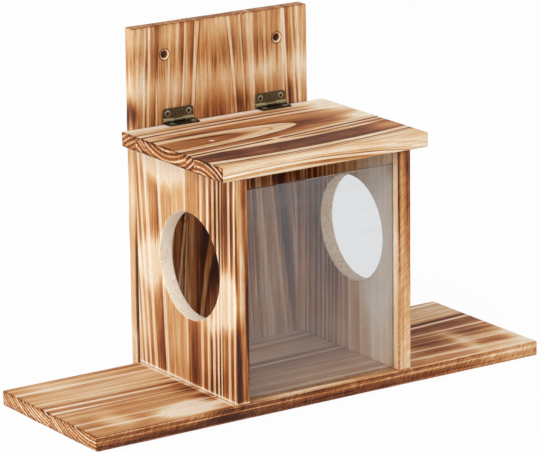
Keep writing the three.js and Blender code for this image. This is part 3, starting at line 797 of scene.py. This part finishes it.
baseWood = {
    "grain": "x", "across": "y", "middle": 0.0, "half": 175.0, "seed": 5, "wander": (4.0, 1.8, 0.4),
    "scorch": (0.62, 0.86), "least": 0.07, "arris": 0.35, "ends": (-0.28, 0.1), "endRim": 0.9, "year": 2.3,
    "streaks": (0.8, 0.55), "toasted": (0.4, 0.95), "ease": 0.85, "torn": 1.0,
    "strips": (
        {"pith": (0, -57.0, 73.0), "lean": (0, 1.5, 0.3), "rings": (
          (62.6, .5), (63.3, .62), (63.45, .12), (63.8, .16), (64.1, .62), (65.8, .5), (66.3, .6),
          (66.55, .12), (66.9, .1), (67.3, .4), (69.0, .5), (71.5, .6), (71.9, .3), (74, .5), (76.4, .62),
          (76.8, .3), (79, .55), (80.2, .7), (80.5, .08), (82, .06), (85, .5), (89, .7))},
        {"seam": (-7.2, 1.2, 4.0), "pith": (0, -30.3, 113.0), "lean": (0, 6.2, 0), "bow": (0, 6.4, 0),
         "rings": (
          (104, .3), (105.0, .6), (107.6, .75), (107.9, .05), (108.6, .1), (109.0, .82), (110.2, .8),
          (110.6, .4), (111.8, .34), (112.2, .08), (113.2, .34), (114.4, .3), (114.8, .1), (116, .34),
          (117.4, .4), (117.8, .12), (119, .5), (119.6, .2), (121, .55), (123.6, .6), (124, .06),
          (125.6, .08), (126.6, .5), (129.5, .6), (130, .12), (132, .5), (136, .65), (136.5, .1), (142, .5))},
    ),
    "patches": (
        ((130, -8, 10), (90, 70, 30), .2), ((108, -22, 10), (32, 19, 30), .45),
        ((153, -15, 10), (24, 13, 30), .4), ((150, -39, 10), (26, 6, 30), .2),
        ((108, -40, 10), (36, 5.5, 30), .4), ((135, -30, 10), (10, 46, 30), -.55),
        ((156, -30, 10), (34, 6, 30), -.45), ((154, -56, 10), (36, 12, 30), -.4),
        ((178, -38, 10), (20, 34, 30), -.8), ((110, -27, 10), (26, 7, 30), .08),
        ((150, 17, 10), (70, 6, 30), .35), ((150, 3, 10), (70, 8, 30), .35),
        ((150, 42, 10), (80, 18, 30), -.3), ((-98, -48, 10), (36, 19, 30), -1.35),
        ((-86, -36, 10), (20, 8, 30), -.5), ((-74, -47, 10), (16, 7, 30), -.5),
        ((-147, -38, 10), (18, 24, 30), -.45), ((-71, -33, 10), (18, 12, 30), 1.1),
        ((-71, -12, 10), (20, 9, 30), .9), ((-70, 2, 10), (18, 4.5, 30), .9),
        ((-70, 15, 10), (14, 3, 30), .7), ((-80, 32, 10), (30, 10, 30), -.4),
        ((-75, -62, 10), (30, 4, 14), .5), ((-145, 45, 10), (44, 18, 30), -.4),
        ((-60, -63.5, 3), (400, 3, 13), 1.1), ((170, -63.5, 5), (90, 4, 14), -.28),
        ((-69.5, 0, 10), (3.2, 150, 6), -.9), ((70, 0, 10), (3, 150, 6), -.6),
        ((-120, 20, 10), (60, 50, 30), -.16), ((-5, -60, 10.2), (70, 3.2, 2.4), -1.1)),
    "saws": ({"axis": "y", "below": -61.9, "across": (0.62, 0, -0.36), "along": (0.07, 0, 0.12),
              "amount": 0.65},),
}

addBoard("lid", "lid_board", lidWood, "lid", roomFor("hingeLid"))
addBoard("back", "back_board", backWood, "box",
         [hangingCutter(side) for side in (-1, 1)] + roomFor("hingeBack") + roomFor("back"))
for side, wood in (("left", leftWood), ("right", rightWood)):
    addBoard(f"{side}Wall", f"{side}_side_wall", wood, "box",
             [entranceCutter(side), grooveCutter(side)] + roomFor("foot", side) + roomFor("back", side))
addBoard("base", "base_board", baseWood, "box", roomFor("foot") + roomFor("back", "base"))
print("boards carved")


# Metal: hinges and screws

bronzePlate = {          # antique bronze plating on pressed steel: dull olive brown, with a painted highlight along the tops of its knuckles
    "cloud": 1.3, "rough": (0.34, 0.5), "tones": ((0.34, "#433B2B"), (0.5, "#5C5039"), (0.66, "#7C6F50")),
    "knuckleHighlightTone": "#D8CBA4",
}
shadedLidBronze = {          # the same plating, darkened all over as painted shade and painted dark reflection, for the leaves on the lid
    "cloud": 1.5, "rough": (0.34, 0.5), "tones": ((0.34, "#1D1812"), (0.5, "#32291E"), (0.68, "#544A39")),
    "knuckleHighlightTone": "#D8CBA4",
}
# the knuckle's pin axis and radius, and the height span over which the painted highlight on the knuckles' tops
# fades in
knuckle = {"axis": (0, 55.1 * mm, 172.6 * mm), "radius": 1.8 * mm, "top": (173.3 * mm, 174.0 * mm)}
rubbedBronze = {         # edges rubbed down to pale metal
    "cloud": 1.2, "rough": (0.26, 0.38), "tones": ((0.3, "#A39374"), (0.55, "#D2C4A0"), (0.75, "#EDE2C6")),
}
hingeScrewSteel = {      # bronze-washed screws: pale on the head, with painted shade down in the cross recess
    "cloud": 0.9, "rough": (0.28, 0.42), "tones": ((0.3, "#7A6F5B"), (0.55, "#A0947D"), (0.75, "#CFC4AC")),
}
zincSteel = {            # blue zinc plating: pale grey, a little cloudy
    "cloud": 2.0, "rough": (0.3, 0.45), "tones": ((0.3, "#9EA2A4"), (0.6, "#BFC3C4"), (0.8, "#D5D8D8")),
}
plating = {
    "cloudDetail": 5.0, "cloudRough": 0.65, "speck": 0.35 * mm, "speckDetail": 2.0,
    "relief": 0.05 * mm, "reliefStrength": 0.3, "paintedRecessShade": "#1C1713",
}


def platedSteel(name, metal):
    # plated steel: a base tone with cloudy darkening, fine specks in the gloss, painted shade darkening the
    # recesses, and, where a knuckle tone is given, a painted highlight along the knuckles' tops
    material, add = newMaterial(name)
    place = add("TexCoord", out="Object")
    cloud = add("TexNoise", {"Vector": place, "Scale": 1 / (metal["cloud"] * mm),
                             "Detail": plating["cloudDetail"], "Roughness": plating["cloudRough"]}, out="Fac")
    speck = add("TexNoise", {"Vector": place, "Scale": 1 / plating["speck"],
                             "Detail": plating["speckDetail"]}, out="Fac")
    plated = add("ValToRGB", {"Fac": cloud}, stops=metal["tones"])
    if "knuckleHighlightTone" in metal:      # painted highlight: the tops of the knuckles are painted a pale tone, fading in with height
        arm = add("VectorMath SUBTRACT", (place, knuckle["axis"]))
        arm = add("VectorMath MULTIPLY", (arm, (0, 1, 1)))
        fromPin = add("VectorMath LENGTH", (arm,), out="Value")
        onKnuckle = add("Math LESS_THAN", (fromPin, knuckle["radius"]))
        level = add("SeparateXYZ", (place,), out="Z")
        paintedKnuckleHighlight = add("MapRange", {"Value": level, "From": knuckle["top"], "To Max": onKnuckle})
        plated = add("Mix", {0: paintedKnuckleHighlight, 6: plated, 7: metal["knuckleHighlightTone"]}, data_type="RGBA", out=2)
    # painted shade in the recesses, read from the mesh's shade attribute
    paintedRecessShade = add("Attribute", attribute_name="paintedRecessShade", out="Fac")
    colour = add("Mix", {0: paintedRecessShade, 6: plated, 7: plating["paintedRecessShade"]}, data_type="RGBA", out=2)
    rough = add("MapRange", {"Value": speck, "From": noiseSpan, "To": metal["rough"]})
    normal = add("Bump", {"Height": speck, "Strength": plating["reliefStrength"],
                          "Distance": plating["relief"]}, out="Normal")
    shader = add("BsdfPrincipled", {"Base Color": colour, "Metallic": 1.0, "Roughness": rough,
                                    "Normal": normal})
    add("OutputMaterial", {"Surface": shader})
    return material


screwHead = {            # mm, or shares of the head's radius
    "sides": 72, "point": 0.04, "innerTo": 0.62, "innerSteps": 15, "outer": (0.7, 0.8, 0.9, 0.97, 1.0),
    "crown": 6,          # power of the head's dome: flat in the middle, round at the rim
    "slotWall": 0.16, "slotEnd": 0.3,      # how far the recess takes to reach its depth
    "paintedRecessShade": (1.6, -0.2),                  # painted shade by share of the depth: dark deep in the recess, none on its upper walls
    "turn": 37,          # degrees from one screw's cross to the next
}


def screwShell(kind, turn):
    # A turned screw with its head's rim plane at height 0 and its point at -length. The cross recess
    # is a depth function of the place on the head: the deeper of two crossed slots with sloping walls.
    s = screwSizes[kind]
    head, point, sides = s["head"], screwHead["point"], screwHead["sides"]
    angle = np.linspace(0, 2 * np.pi, sides, endpoint=False) + turn
    inner = np.linspace(point, screwHead["innerTo"] * head, screwHead["innerSteps"])
    topRadius = np.concatenate((inner, head * np.array(screwHead["outer"])))
    topHeight = s["dome"] * (1 - (topRadius / head) ** screwHead["crown"])
    x, y = topRadius[:, None] * np.cos(angle), topRadius[:, None] * np.sin(angle)
    depth = np.zeros_like(x)
    for u, v in ((x, y), (y, x)):
        wall = np.clip((s["slot"] / 2 - np.abs(u)) / screwHead["slotWall"] + 0.5, 0, 1)
        wall = wall * np.clip((s["span"] / 2 - np.abs(v)) / screwHead["slotEnd"] + 0.5, 0, 1)
        depth = np.maximum(depth, wall * s["deep"])
    profile = [(head, -s["rim"]), (s["shank"], -s["rim"] - (head - s["shank"])),
               (s["shank"], s["tip"] - s["length"]), (point, -s["length"])]
    radii, levels = np.transpose(profile)
    heights = np.concatenate((topHeight[:, None] - depth, np.repeat(levels[:, None], sides, axis=1)))
    points, faces = turned(np.concatenate((topRadius, radii)), heights, sides)
    # painted shade in the cross recess, growing with depth
    rise, start = screwHead["paintedRecessShade"]
    recessShadeShare = np.clip(depth / s["deep"] * rise + start, 0, 1)
    paintedRecessShade = np.concatenate((recessShadeShare, np.zeros((len(profile), sides)))).ravel()
    return points, faces, paintedRecessShade


def addScrews(group, body, finish):
    # a group's screws, each one's cross turned on from the one before
    names, kind, axis, inward = screws[group]
    for i, name in enumerate(names):
        points, faces, paintedRecessShade = screwShell(kind, math.radians(screwHead["turn"]) * i)
        placed = standing(points, axis, -inward, screwSeat(name, kind, axis, inward))
        mesh = meshFrom(name, placed, faces, {"paintedRecessShade": paintedRecessShade})
        linkPiece(name.replace("_", "-"), mesh, [finish], body, [name], smoothAngle=32)


hingeSteel = platedSteel("bronzeWashedScrewSteel", hingeScrewSteel)
zinc = platedSteel("zincPlatedScrewSteel", zincSteel)
addScrews("hingeBack", "box", hingeSteel)
addScrews("hingeLid", "lid", hingeSteel)
addScrews("foot", "box", zinc)
addScrews("back", "box", zinc)
print("screws turned")

hingeEdge = {"doubles": 0.002 * mm, "flatWithin": 1, "width": 0.12 * mm, "segments": 2, "sharperThan": 40}


def addHingePart(node, body, plate):
    # the CAD shape with its doubles merged and its sharp edges rounded off, in rubbed plating
    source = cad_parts[node]
    shape = bmesh.new()
    shape.from_mesh(source.data)
    bmesh.ops.remove_doubles(shape, verts=shape.verts, dist=hingeEdge["doubles"])
    bmesh.ops.dissolve_limit(shape, angle_limit=math.radians(hingeEdge["flatWithin"]), verts=shape.verts,
                             edges=shape.edges)
    mesh = bpy.data.meshes.new(node)
    shape.to_mesh(mesh)
    shape.free()
    piece = linkPiece(node.replace("_", "-"), mesh, [plate, rubbed], body, [node],
                      smoothAngle=30)
    ease = piece.modifiers.new("rubbedEdges", "BEVEL")
    ease.width, ease.segments, ease.limit_method = hingeEdge["width"], hingeEdge["segments"], "ANGLE"
    ease.angle_limit, ease.material = math.radians(hingeEdge["sharperThan"]), 1
    ease.use_clamp_overlap = True


bronze = platedSteel("antiqueBronzePlate", bronzePlate)
# the lid leaves' plate is darkened as painted shade and painted dark reflection
lidLeafShadedPlate = platedSteel("bronzePlateDarkenedAsShade", shadedLidBronze)
rubbed = platedSteel("rubbedBronzePlate", rubbedBronze)
for side in ("left", "right"):
    addHingePart(f"{side}_hinge_back_leaf", "box", bronze)
    addHingePart(f"{side}_hinge_pin", "box", rubbed)
    addHingePart(f"{side}_hinge_lid_leaf", "lid", lidLeafShadedPlate)
print("hinges made")


# Acrylic pane

acrylic = {              # sizes in mm; rough and clear go from the first value to the second over the spans
    "tint": "#DFE1E3", "shade": "#F2F5F9", "ior": 1.49,
    "scuff": 14, "scuffDetail": 5.0, "scuffSpan": (0.4, 0.7), "rough": (0.0, 0.03),
    "streak": (150, 1, 9), "reflectionBandDetail": 2.0, "reflectionBandSpan": (0.55, 0.75), "clear": (0.97, 0.9),
}


def clearAcrylic():
    # Cast acrylic sheet, faintly grey: clear and glossy, a little rougher along fine scuffs, with long faint
    # horizontal bands where less light passes and the pale tint shows, a painted reflection. Lamps shine
    # through it.
    material, add = newMaterial("clearAcrylic")
    place = add("TexCoord", out="Object")
    scuff = add("TexNoise", {"Vector": place, "Scale": 1 / (acrylic["scuff"] * mm),
                             "Detail": acrylic["scuffDetail"]}, out="Fac")
    # painted reflection: bands drawn out along x, where the sheet lets a little less through
    stretched = add("VectorMath MULTIPLY", (place, tuple(1 / (size * mm) for size in acrylic["streak"])))
    streak = add("TexNoise", {"Vector": stretched, "Scale": 1.0, "Detail": acrylic["reflectionBandDetail"]}, out="Fac")
    rough = add("MapRange", {"Value": scuff, "From": acrylic["scuffSpan"], "To": acrylic["rough"]})
    clear = add("MapRange", {"Value": streak, "From": acrylic["reflectionBandSpan"], "To": acrylic["clear"]})
    sheet = add("BsdfPrincipled", {"Base Color": acrylic["tint"], "Roughness": rough, "IOR": acrylic["ior"],
                                   "Transmission Weight": clear})
    letThrough = add("BsdfTransparent", {"Color": acrylic["shade"]})
    shown = add("MixShader", (add("LightPath", out="Is Shadow Ray"), sheet, letThrough))
    add("OutputMaterial", {"Surface": shown})
    return material


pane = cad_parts["front_pane"]
pane.data.materials.clear()
pane.data.materials.append(clearAcrylic())
print("pane finished")

bpy.context.view_layer.update()
